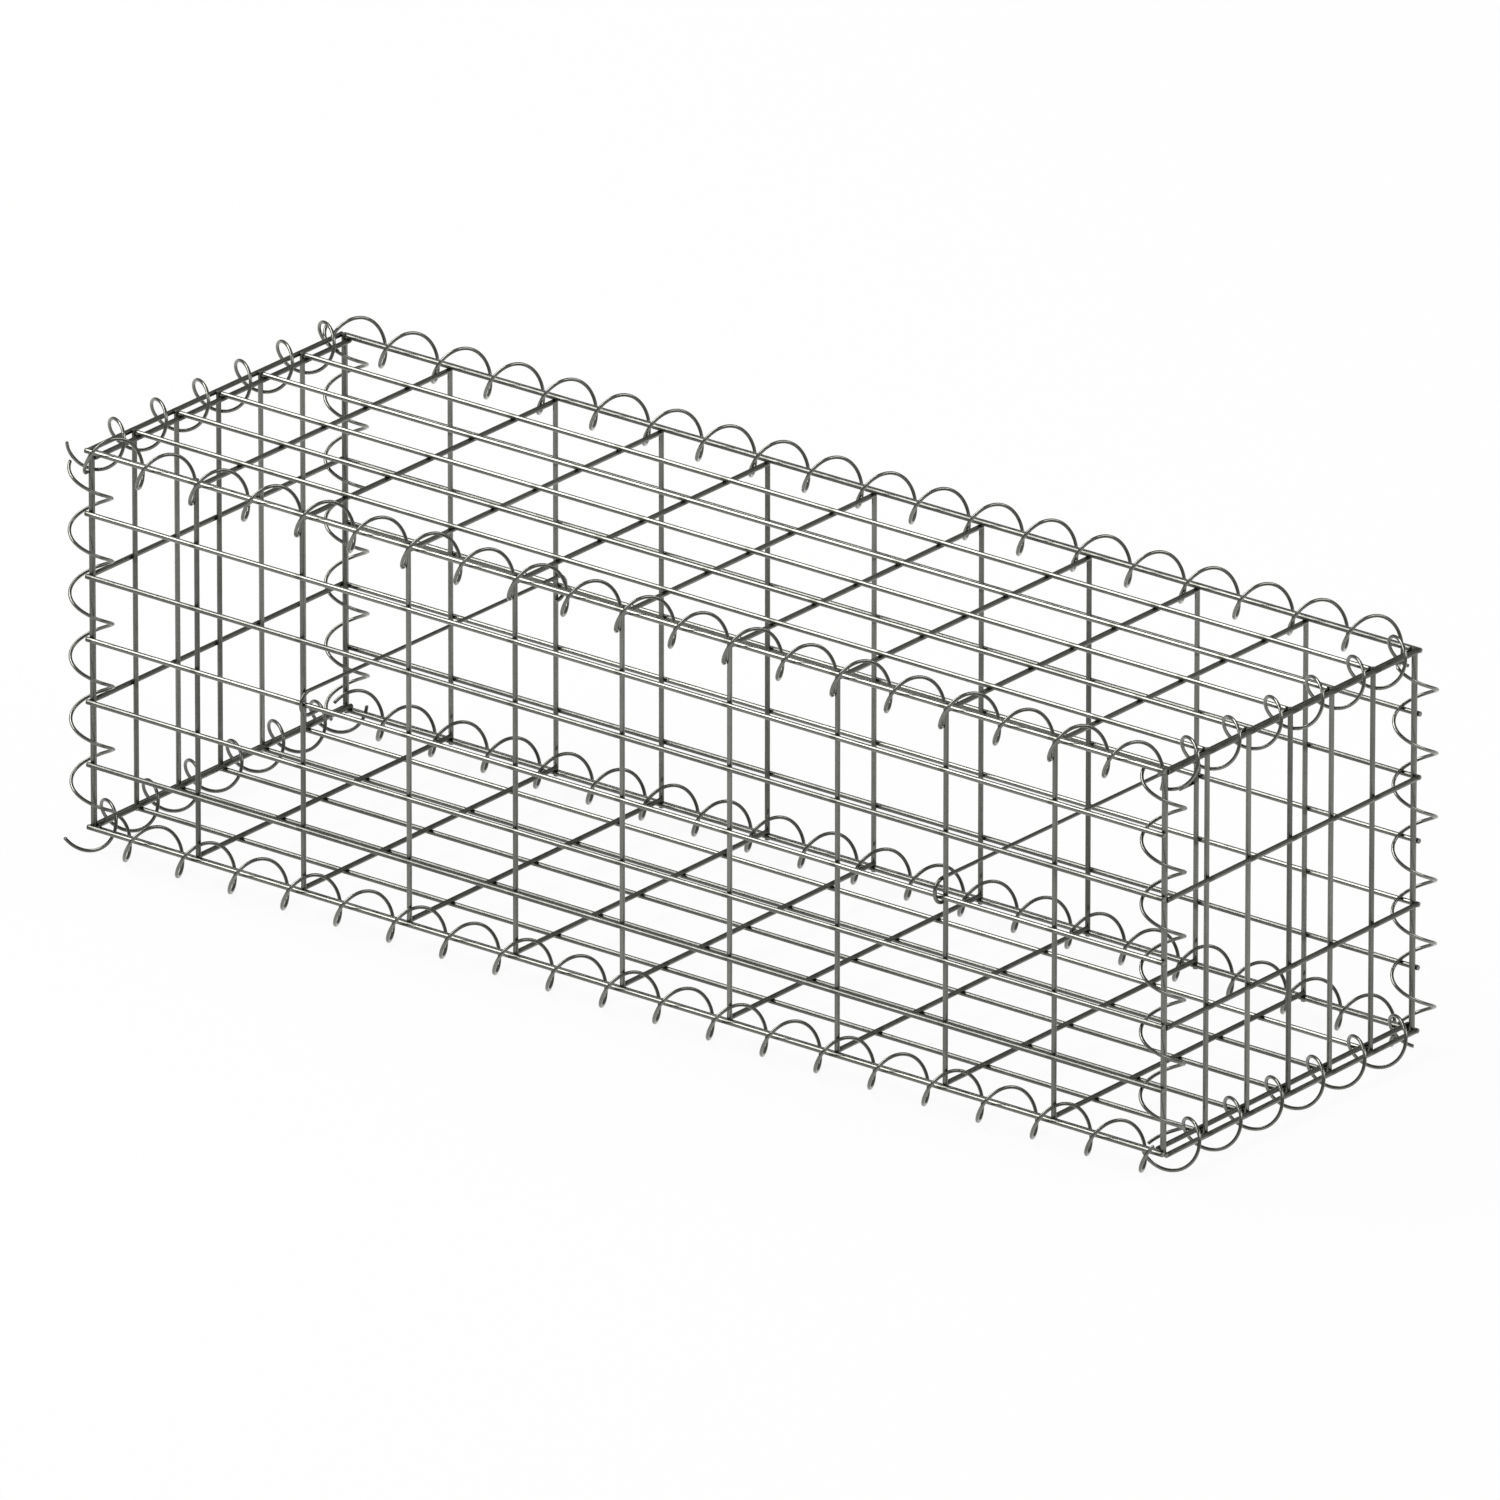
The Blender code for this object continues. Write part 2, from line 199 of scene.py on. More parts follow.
@dataclass(frozen=True)
class ZincWireFinish:
    """Galvanised drawn steel wire: bright zinc with fine draw lines, spangle and dull bloom.

    The die leaves hair lines along the wire. The zinc over them freezes in small crystals that
    differ a little in tone, and weathers in soft dull patches. Next to a spot weld it is scorched.
    """

    name: str
    bright: str
    dull: str
    scorched: str
    roughness_low: float
    roughness_high: float
    # The zinc's crystals, and the patches in which it dulls
    spangle_mm: float = 1.4
    bloom_mm: float = 38.0
    # Real draw lines are a tenth as wide. They are drawn coarser, so that they show from a step
    # away.
    draw_line_mm: float = 0.35
    draw_run_mm: float = 30.0
    line_depth_mm: float = 0.008
    line_strength: float = 0.5
    scorch_mm: float = 5.0
    scorch_core: float = 0.3
    scorch_share: float = 0.75
    bloom_share: float = 1.1
    spangle_share: float = 0.2
    draw_line_share: float = 0.5
    tone_share: float = 0.9

    def material(self) -> bpy.types.Material:
        """Builds the finish as a node material.

        Returns:
            The material.
        """
        material, shader = new_metal(self.name)
        tree = material.node_tree
        place = add_node(tree, "ShaderNodeTexCoord").outputs["Object"]
        run = add_node(tree, "ShaderNodeUVMap", uv_map=WIRE_UV).outputs["UV"]
        tone = add_node(tree, "ShaderNodeAttribute", attribute_name=TONE).outputs["Fac"]

        spangle = add_node(
            tree, "ShaderNodeTexVoronoi", {"Vector": place, "Scale": 1000 / self.spangle_mm}
        )
        crystal = add_node(tree, "ShaderNodeSeparateColor", {"Color": spangle.outputs["Color"]})
        bloom = add_node(
            tree,
            "ShaderNodeTexNoise",
            {"Vector": place, "Scale": 1000 / self.bloom_mm, "Detail": 4.0, "Roughness": 0.6},
        )
        stretched = add_node(
            tree,
            "ShaderNodeMapping",
            {"Vector": run, "Scale": (1000 / self.draw_line_mm, 1000 / self.draw_run_mm, 1.0)},
        )
        draw_lines = add_node(
            tree,
            "ShaderNodeTexNoise",
            {"Vector": stretched.outputs["Vector"], "Scale": 1.0, "Detail": 3.0},
            noise_dimensions="2D",
        )

        dulled = self._blend_tones(
            tree,
            (bloom.outputs["Fac"], self.bloom_share),
            (crystal.outputs["Red"], self.spangle_share),
            (draw_lines.outputs["Fac"], self.draw_line_share),
            (tone, self.tone_share),
        )
        zinc = add_node(
            tree,
            "ShaderNodeMix",
            {
                MIX_SHARE: dulled,
                MIX_FIRST: linear(self.bright),
                MIX_SECOND: linear(self.dull),
            },
            data_type="RGBA",
        )
        scorch = self._scorch(tree, run)
        colour = add_node(
            tree,
            "ShaderNodeMix",
            {
                MIX_SHARE: scorch,
                MIX_FIRST: zinc.outputs[MIX_COLOUR],
                MIX_SECOND: linear(self.scorched),
            },
            data_type="RGBA",
        )
        roughness = add_node(
            tree,
            "ShaderNodeMapRange",
            {"Value": dulled, "To Min": self.roughness_low, "To Max": self.roughness_high},
        )
        bump = add_node(
            tree,
            "ShaderNodeBump",
            {
                "Height": draw_lines.outputs["Fac"],
                "Strength": self.line_strength,
                "Distance": self.line_depth_mm / 1000,
            },
        )
        tree.links.new(colour.outputs[MIX_COLOUR], shader.inputs["Base Color"])
        tree.links.new(roughness.outputs["Result"], shader.inputs["Roughness"])
        tree.links.new(bump.outputs["Normal"], shader.inputs["Normal"])
        return material

    def _blend_tones(
        self, tree: bpy.types.NodeTree, *layers: tuple[bpy.types.NodeSocket, float]
    ) -> bpy.types.NodeSocket:
        """Adds up patterns that all swing round one half.

        Args:
            tree: The material's node tree.
            layers: Each pattern's socket and the share of its swing that counts.

        Returns:
            A socket from 0, bright, to 1, dull.
        """
        total: bpy.types.NodeSocket | float = 0.5 - sum(weight for _, weight in layers) / 2
        for socket, weight in layers:
            step = add_node(
                tree,
                "ShaderNodeMath",
                {0: socket, 1: weight, 2: total},
                operation="MULTIPLY_ADD",
                use_clamp=False,
            )
            total = step.outputs[0]
        return add_node(tree, "ShaderNodeClamp", {"Value": total}).outputs[0]

    def _scorch(
        self, tree: bpy.types.NodeTree, run: bpy.types.NodeSocket
    ) -> bpy.types.NodeSocket:
        """Masks the zinc that the heat of the spot welds has dulled.

        Args:
            tree: The material's node tree.
            run: The wire's own coordinate, whose second number is the way along it from a weld.

        Returns:
            A socket that is 1 at a weld and 0 past the scorched length, and 0 on unwelded wire.
        """
        along = add_node(tree, "ShaderNodeSeparateXYZ", {"Vector": run}).outputs["Y"]
        spacing = add_node(tree, "ShaderNodeAttribute", attribute_name=WELD_SPACING)
        half = add_node(
            tree, "ShaderNodeMath", {0: spacing.outputs["Fac"], 1: 0.5}, operation="MULTIPLY"
        )
        off_weld = add_node(
            tree, "ShaderNodeMath", {0: along, 1: half.outputs[0]}, operation="PINGPONG"
        )
        near = add_node(
            tree,
            "ShaderNodeMapRange",
            {
                "Value": off_weld.outputs[0],
                "From Min": self.scorch_core * self.scorch_mm / 1000,
                "From Max": self.scorch_mm / 1000,
                "To Min": self.scorch_share,
                "To Max": 0.0,
            },
            interpolation_type="SMOOTHSTEP",
        )
        welded = add_node(
            tree,
            "ShaderNodeMath",
            {0: spacing.outputs["Fac"], 1: LEAST_WELD_SPACING},
            operation="GREATER_THAN",
        )
        return add_node(
            tree,
            "ShaderNodeMath",
            {0: near.outputs["Result"], 1: welded.outputs[0]},
            operation="MULTIPLY",
        ).outputs[0]


@dataclass(frozen=True)
class WeldFlashFinish:
    """Squeezed-out spot-weld metal: dull, slightly olive and grainy where the zinc burnt off."""

    name: str
    light: str
    dark: str
    roughness: float
    grain_mm: float = 0.5
    grain_depth_mm: float = 0.08
    grain_strength: float = 0.6

    def material(self) -> bpy.types.Material:
        """Builds the finish as a node material.

        Returns:
            The material.
        """
        material, shader = new_metal(self.name)
        tree = material.node_tree
        shader.inputs["Roughness"].default_value = self.roughness
        place = add_node(tree, "ShaderNodeTexCoord").outputs["Object"]
        grain = add_node(
            tree,
            "ShaderNodeTexNoise",
            {"Vector": place, "Scale": 1000 / self.grain_mm, "Detail": 2.0},
        )
        colour = add_node(
            tree,
            "ShaderNodeMix",
            {
                MIX_SHARE: grain.outputs["Fac"],
                MIX_FIRST: linear(self.light),
                MIX_SECOND: linear(self.dark),
            },
            data_type="RGBA",
        )
        bump = add_node(
            tree,
            "ShaderNodeBump",
            {
                "Height": grain.outputs["Fac"],
                "Strength": self.grain_strength,
                "Distance": self.grain_depth_mm / 1000,
            },
        )
        tree.links.new(colour.outputs[MIX_COLOUR], shader.inputs["Base Color"])
        tree.links.new(bump.outputs["Normal"], shader.inputs["Normal"])
        return material


@dataclass(frozen=True)
class CutFaceFinish:
    """Bare steel of a sheared wire end: bright, crossed by the cutter's parallel score lines."""

    name: str
    steel: str
    scored: str
    roughness: float
    # Real score lines lie closer. They are drawn coarser, so that they show from a step away.
    score_mm: float = 0.5
    score_waver: float = 2.0

    def material(self) -> bpy.types.Material:
        """Builds the finish as a node material.

        Returns:
            The material.
        """
        material, shader = new_metal(self.name)
        tree = material.node_tree
        shader.inputs["Roughness"].default_value = self.roughness
        place = add_node(tree, "ShaderNodeTexCoord").outputs["Object"]
        scores = add_node(
            tree,
            "ShaderNodeTexWave",
            {
                "Vector": place,
                "Scale": 1000 * math.tau / (self.score_mm * DIAGONAL_WAVE),
                "Distortion": self.score_waver,
            },
            bands_direction="DIAGONAL",
        )
        colour = add_node(
            tree,
            "ShaderNodeMix",
            {
                MIX_SHARE: scores.outputs["Fac"],
                MIX_FIRST: linear(self.steel),
                MIX_SECOND: linear(self.scored),
            },
            data_type="RGBA",
        )
        tree.links.new(colour.outputs[MIX_COLOUR], shader.inputs["Base Color"])
        return material


class SweptWire:
    """A round wire that grows from a ring of vertices: runs straight, bends, climbs and is cut.

    Each vertex keeps how far round and how far along the wire it lies, for the wire's UV map.
    """

    def __init__(
        self,
        mesh: bmesh.types.BMesh,
        radius: float,
        sides: int,
        tone: float,
        weld_spacing: float = 0.0,
    ) -> None:
        """Starts a wire in a mesh.

        Args:
            mesh: The mesh that takes the wire.
            radius: The wire's radius.
            sides: How many faces go round it.
            tone: The wire's own tone, from 0, bright, to 1, dull.
            weld_spacing: Distance between its welds, or 0 where it has none.
        """
        self.mesh = mesh
        self.radius = radius
        self.sides = sides
        layers = mesh.verts.layers.float
        self._around = layers.get(AROUND) or layers.new(AROUND)
        self._along = layers.get(ALONG) or layers.new(ALONG)
        self._tone = layers.get(TONE) or layers.new(TONE)
        self._spacing = layers.get(WELD_SPACING) or layers.new(WELD_SPACING)
        self.tone, self.weld_spacing = tone, weld_spacing
        self.loop: list[bmesh.types.BMEdge] = []
        self.first: list[bmesh.types.BMEdge] = []
        self.travelled = 0.0

    def start(self, point: Vector, heading: Vector, travelled: float = 0.0) -> None:
        """Sets the first ring square to the wire's heading.

        Args:
            point: Centre of the ring.
            heading: Direction in which the wire leaves it.
            travelled: Distance along the wire that the ring stands for.
        """
        turn = heading.to_track_quat("Z", "X").to_matrix().to_4x4()
        made = bmesh.ops.create_circle(
            self.mesh,
            cap_ends=False,
            segments=self.sides,
            radius=self.radius,
            matrix=Matrix.Translation(point) @ turn,
        )
        self.travelled = travelled
        for index, vertex in enumerate(made["verts"]):
            vertex[self._around] = index / self.sides
            vertex[self._along] = travelled
            vertex[self._tone] = self.tone
            vertex[self._spacing] = self.weld_spacing
        self.loop = self._edges_among(made["verts"])
        self.first = list(self.loop)

    def run(self, step: Vector) -> None:
        """Carries the wire straight on.

        A ring near either end keeps the rolled rims out of the shading between them.

        Args:
            step: The way from the present ring to the last.
        """
        hold = min(self.radius, step.length / 4)
        for length in (hold, step.length - 2 * hold, hold):
            grown = bmesh.ops.extrude_edge_only(self.mesh, edges=self.loop)["geom"]
            verts = [item for item in grown if isinstance(item, bmesh.types.BMVert)]
            bmesh.ops.translate(self.mesh, verts=verts, vec=step.normalized() * length)
            self.travelled += length
            for vertex in verts:
                vertex[self._along] = self.travelled
            self.loop = self._edges_among(verts)

    def bend(
        self, centre: Vector, axis: Vector, angle: float, steps: int, climb: float = 0.0
    ) -> None:
        """Turns the wire round an axis, climbing along it as a coil does.

        Args:
            centre: A point of the axis.
            axis: The axis, a unit vector.
            angle: The whole turn, by the right-hand rule.
            steps: How many rings it takes.
            climb: The whole way along the axis.
        """
        verts = self._ring(self.loop)
        offset = self._middle(verts) - centre
        arc = math.hypot((offset - axis * offset.dot(axis)).length * angle, climb)
        before = len(self.mesh.verts)
        made = bmesh.ops.spin(
            self.mesh,
            geom=[*verts, *self.loop],
            cent=centre,
            axis=axis,
            dvec=axis * (climb / steps),
            angle=angle,
            steps=steps,
            use_merge=False,
            use_normal_flip=False,
            use_duplicate=False,
        )
        self.mesh.verts.ensure_lookup_table()
        for index in range(before, len(self.mesh.verts)):
            ring = (index - before) // self.sides + 1
            self.mesh.verts[index][self._along] = self.travelled + arc * ring / steps
        self.travelled += arc
        last = [item for item in made["geom_last"] if isinstance(item, bmesh.types.BMVert)]
        self.loop = self._edges_among(last)

    def cut(self, slant: float) -> None:
        """Closes both ends as sheared faces with a rolled rim.

        Args:
            slant: How far the cut leans across the wire, as a slope.
        """
        for edges in (self.first, self.loop):
            verts = self._ring(edges)
            middle = self._middle(verts)
            beside = {vertex for face in self._faces_at(edges) for vertex in face.verts}
            next_ring = self._in_order(beside - set(verts))
            inwards = (self._middle(next_ring) - middle).normalized()
            across = (verts[0].co - middle).normalized()
            for vertex in verts:
                lean = (vertex.co - middle).dot(across) * slant
                vertex.co += inwards * (self.radius * slant + lean)
            self.mesh.faces.new(verts).material_index = CUT_FACE_PLACE
            # The new face has to face the way its neighbours do, or the rim would roll outwards
            bmesh.ops.recalc_face_normals(self.mesh, faces=self._faces_at(edges))
        bmesh.ops.bevel(
            self.mesh,
            geom=self.first + self.loop,
            offset=RIM_ROLL,
            offset_type="OFFSET",
            segments=RIM_STEPS,
            profile=ROUND_PROFILE,
            affect="EDGES",
            material=-1,
        )

    def _in_order(self, verts: Iterable[bmesh.types.BMVert]) -> list[bmesh.types.BMVert]:
        """The vertices of a ring in their order round it."""
        return sorted(verts, key=lambda vertex: vertex[self._around])

    def _ring(self, edges: list[bmesh.types.BMEdge]) -> list[bmesh.types.BMVert]:
        """The vertices of a ring of edges in their order round it."""
        return self._in_order({vertex for edge in edges for vertex in edge.verts})

    @staticmethod
    def _faces_at(edges: list[bmesh.types.BMEdge]) -> list[bmesh.types.BMFace]:
        """The faces that meet the given edges, in a fixed order."""
        return list(dict.fromkeys(face for edge in edges for face in edge.link_faces))

    @staticmethod
    def _middle(verts: list[bmesh.types.BMVert]) -> Vector:
        """The middle of a ring."""
        return sum((vertex.co for vertex in verts), Vector()) / len(verts)

    @staticmethod
    def _edges_among(verts: list[bmesh.types.BMVert]) -> list[bmesh.types.BMEdge]:
        """The edges whose both ends are among the given vertices, in a fixed order."""
        chosen = set(verts)
        near = dict.fromkeys(edge for vertex in verts for edge in vertex.link_edges)
        return [edge for edge in near if set(edge.verts) <= chosen]


def lay_wire_uv(mesh: bmesh.types.BMesh, radius: float) -> None:
    """Writes the wire's UV map from what its vertices keep.

    Args:
        mesh: A mesh of swept wires.
        radius: The wires' radius.
    """
    around = mesh.verts.layers.float[AROUND]
    along = mesh.verts.layers.float[ALONG]
    uv = mesh.loops.layers.uv.new(WIRE_UV)
    girth = math.tau * radius
    for face in mesh.faces:
        shares = [loop.vert[around] for loop in face.loops]
        wraps = max(shares) - min(shares) > 0.5
        for loop, share in zip(face.loops, shares):
            turned = share + 1 if wraps and share < 0.5 else share
            loop[uv].uv = (turned * girth, loop.vert[along])


def finish_mesh(
    name: str, mesh: bmesh.types.BMesh, materials: list[bpy.types.Material], sharp: float
) -> bpy.types.Object:
    """Turns a finished bmesh into an object at the origin.

    Args:
        name: The piece's name.
        mesh: The bmesh, which is freed.
        materials: Its materials in slot order.
        sharp: Edges that turn more than this angle stay crisp.

    Returns:
        The object.
    """
    bmesh.ops.recalc_face_normals(mesh, faces=mesh.faces)
    data = bpy.data.meshes.new(name)
    mesh.to_mesh(data)
    mesh.free()
    data.shade_smooth()
    data.set_sharp_from_angle(angle=sharp)
    for material in materials:
        data.materials.append(material)
    piece = bpy.data.objects.new(name, data)
    bpy.context.scene.collection.objects.link(piece)
    return piece


def stand_in(piece: bpy.types.Object, node: str, tolerance: float = 0.0012) -> None:
    """Puts a piece in a CAD node's stead, after a look at whether it fills the same box.

    Args:
        piece: The finished piece.
        node: The CAD node that it replaces.
        tolerance: How far its box may differ from the node's.

    Raises:
        ValueError: The piece doesn't lie where the node does.
    """
    low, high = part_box(node)
    corners = [Vector(corner) for corner in piece.bound_box]
    own_low = Vector([min(corner[axis] for corner in corners) for axis in range(3)])
    own_high = Vector([max(corner[axis] for corner in corners) for axis in range(3)])
    off = max(*map(abs, own_low - low), *map(abs, own_high - high))
    if off > tolerance:
        raise ValueError(f"{piece.name} lies {off * 1000:.2f} mm off {node}")
    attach(piece, BODY)
    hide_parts(node)
    LOG.info("%s: %d faces, box within %.2f mm", piece.name, len(piece.data.polygons), off * 1000)


@dataclass
class WireRow:
    """Parallel wires of one panel: their axis and span, and their places across it at one level."""

    axis: Axis
    span: tuple[float, float]
    across: Axis
    places: list[float]
    level: float
    weld_from: float
    weld_spacing: float

    def moved(self, along: float, across: float) -> WireRow:
        """The same row moved along its wires and across them.

        Args:
            along: The way along the wires.
            across: The way from wire to wire.

        Returns:
            The moved row.
        """
        return replace(
            self,
            span=(self.span[0] + along, self.span[1] + along),
            places=[place + across for place in self.places],
            weld_from=self.weld_from + along,
        )


@dataclass
class MeshPanel:
    """A flat welded mesh panel: outer wires laid over inner ones, spot-welded at each crossing."""

    node: str
    facing: Axis
    outer: WireRow
    inner: WireRow
    seed: int
    wire_sides: int = 16
    end_slant: tuple[float, float] = (0.024, 0.12)
    flash_reach: float = 0.0020
    flash_height: float = 0.00085
    flash_swell: tuple[float, float] = (0.9, 1.0)

    def build(self, materials: list[bpy.types.Material]) -> bpy.types.Object:
        """Models the panel and puts it in its CAD node's stead.

        Args:
            materials: Zinc wire, cut face and weld flash, in that order.

        Returns:
            The panel.
        """
        chance = random.Random(self.seed)
        mesh = bmesh.new()
        for row in (self.outer, self.inner):
            self._add_wires(mesh, row, chance)
        self._add_welds(mesh, chance)
        lay_wire_uv(mesh, MESH_RADIUS)
        piece = finish_mesh(f"{self.node}_wires", mesh, materials, STRAIGHT_CRISP)
        stand_in(piece, self.node)
        return piece

    def _add_wires(self, mesh: bmesh.types.BMesh, row: WireRow, chance: random.Random) -> None:
        """Sweeps every straight wire of a row.

        Args:
            mesh: The panel's mesh.
            row: The row of wires.
            chance: Source of the wires' tones and cuts.
        """
        for place in row.places:
            point = row.axis.unit * row.span[0] + row.across.unit * place
            point += self.facing.unit * row.level
            wire = SweptWire(mesh, MESH_RADIUS, self.wire_sides, chance.random(), row.weld_spacing)
            wire.start(point, row.axis.unit, row.span[0] - row.weld_from)
            wire.run(row.axis.unit * (row.span[1] - row.span[0]))
            wire.cut(chance.uniform(*self.end_slant))

    def _add_welds(self, mesh: bmesh.types.BMesh, chance: random.Random) -> None:
        """Adds the flattened bead of flash that shows between the wires at each crossing.

        Args:
            mesh: The panel's mesh.
            chance: Source of small differences between beads.
        """
        level = (self.outer.level + self.inner.level) / 2
        sizes = [self.flash_reach] * 3
        sizes[self.facing.value] = self.flash_height
        for first in self.outer.places:
            for second in self.inner.places:
                middle = (
                    self.outer.across.unit * first
                    + self.inner.across.unit * second
                    + self.facing.unit * level
                )
                swell = chance.uniform(*self.flash_swell)
                turn = Matrix.Rotation(chance.uniform(0, math.pi), 4, self.facing.unit)
                squash = Matrix.Diagonal((*(size * swell for size in sizes), 1.0))
                made = bmesh.ops.create_icosphere(
                    mesh,
                    subdivisions=1,
                    radius=1.0,
                    matrix=Matrix.Translation(middle) @ squash @ turn,
                )
                for face in {face for vertex in made["verts"] for face in vertex.link_faces}:
                    face.material_index = FLASH_PLACE


@dataclass
class SpiralBinder:
    """A left-handed spiral binder, laced along one edge round the edge wires of two panels."""

    node: str
    axis: Axis
    centre: Vector
    pitch: float
    seed: int
    radius: float = 0.0158
    wire_sides: int = 14
    rings_per_turn: int = 48
    end_slant: tuple[float, float] = (0.05, 0.2)

    def build(self, materials: list[bpy.types.Material]) -> bpy.types.Object:
        """Models the binder and puts it in its CAD node's stead.

        Args:
            materials: Zinc wire and cut face, in that order.

        Returns:
            The binder.
        """
        chance = random.Random(self.seed)
        wire_radius = BINDER_WIRE / 2
        low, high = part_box(self.node)
        slope = self.pitch / math.hypot(self.pitch, math.tau * self.radius)
        end_reach = wire_radius * math.sqrt(1 - slope**2)
        first = low[self.axis.value] + end_reach
        last = high[self.axis.value] - end_reach
        turns = (last - first) / self.pitch
        start_angle = self._phase() - math.tau * first / self.pitch

        across, up = self.axis.next.unit, self.axis.next.next.unit
        outward = across * math.cos(start_angle) + up * math.sin(start_angle)
        forward = across * math.sin(start_angle) - up * math.cos(start_angle)
        heading = forward * math.sqrt(1 - slope**2) + self.axis.unit * slope
        base = self.centre + self.axis.unit * first

        mesh = bmesh.new()
        wire = SweptWire(mesh, wire_radius, self.wire_sides, chance.random())
        wire.start(base + outward * self.radius, heading)
        wire.bend(
            base,
            self.axis.unit,
            -math.tau * turns,
            round(turns * self.rings_per_turn),
            climb=last - first,
        )
        wire.cut(chance.uniform(*self.end_slant))
        lay_wire_uv(mesh, wire_radius)
        piece = finish_mesh(f"{self.node}_coil", mesh, materials, COIL_CRISP)
        stand_in(piece, self.node)
        return piece

    def _phase(self) -> float:
        """Reads from the CAD coil the angle that it has where its edge's own coordinate is zero.

        Returns:
            The angle, from the axis that follows the edge's towards the one after.
        """
        first, second = self.axis.next.value, self.axis.next.next.value
        sines = cosines = 0.0
        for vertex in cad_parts[self.node].data.vertices:
            offset = vertex.co - self.centre
            angle = math.atan2(offset[second], offset[first])
            angle += math.tau * vertex.co[self.axis.value] / self.pitch
            sines += math.sin(angle)
            cosines += math.cos(angle)
        return math.atan2(sines, cosines)


@dataclass
class HookedSpacer:
    """A spacer wire across the basket, with a hook over a row wire of the front and back panel."""

    node: str
    front_tail: float
    back_tail: float
    seed: int
    hook_radius: float = 0.0095
    wire_sides: int = 16
    hook_steps: int = 24
    end_slant: tuple[float, float] = (0.05, 0.2)

    def build(self, materials: list[bpy.types.Material]) -> bpy.types.Object:
        """Models the spacer and puts it in its CAD node's stead.

        Args:
            materials: Zinc wire and cut face, in that order.

        Returns:
            The spacer.
        """
        chance = random.Random(self.seed)
        radius = SPACER_WIRE / 2
        low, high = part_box(self.node)
        reach = radius + self.hook_radius
        front = Vector((high.x - radius, low.y + reach, high.z - reach))
        back = Vector((low.x + radius, high.y - reach, low.z + reach))
        drop = Vector((0, 0, -self.hook_radius))

        mesh = bmesh.new()
        wire = SweptWire(mesh, radius, self.wire_sides, chance.random())
        wire.start(front + drop + Axis.Y.unit * self.front_tail, -Axis.Y.unit)
        wire.run(-Axis.Y.unit * self.front_tail)
        wire.bend(front, Axis.X.unit, -math.pi, self.hook_steps)
        wire.run(back - front)
        wire.bend(back, Axis.X.unit, -math.pi, self.hook_steps)
        wire.run(-Axis.Y.unit * self.back_tail)
        wire.cut(chance.uniform(*self.end_slant))
        lay_wire_uv(mesh, radius)
        piece = finish_mesh(f"{self.node}_wire", mesh, materials, STRAIGHT_CRISP)
        stand_in(piece, self.node)
        return piece


